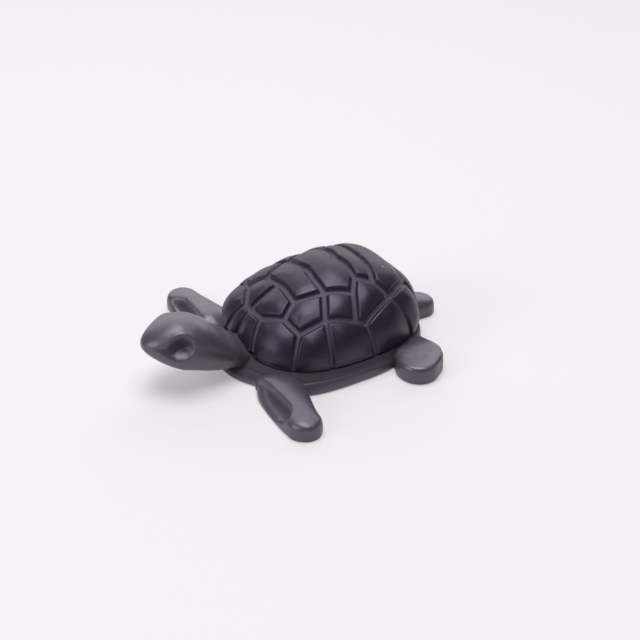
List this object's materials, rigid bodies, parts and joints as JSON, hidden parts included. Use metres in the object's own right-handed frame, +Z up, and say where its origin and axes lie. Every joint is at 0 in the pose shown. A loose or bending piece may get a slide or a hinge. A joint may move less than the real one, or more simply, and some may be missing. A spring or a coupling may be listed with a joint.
{
  "type": "toy sea turtle figure",
  "caption": "Small moulded plastic sea turtle figure lying on its flat belly, with a scute-covered domed shell, raised head, spread flippers, rear feet and a stub tail.",
  "frame": {"origin": "on the flat belly, on the middle line, at the level of the floor it rests on", "axes": "+X toward the head, +Y toward the turtle's left, +Z up"},
  "size_m": [0.0535, 0.0488, 0.0148],
  "materials": {
    "shell": "satin moulded vinyl, near-black with a cool purple cast",
    "body": "matt moulded vinyl, purplish charcoal"
  },
  "bodies": {
    "root": {"carapace": "shell", "trunk": "body", "head": "body", "front_left_flipper": "body", "front_right_flipper": "body", "rear_left_foot": "body", "rear_right_foot": "body", "tail": "body"}
  },
  "joints": []
}
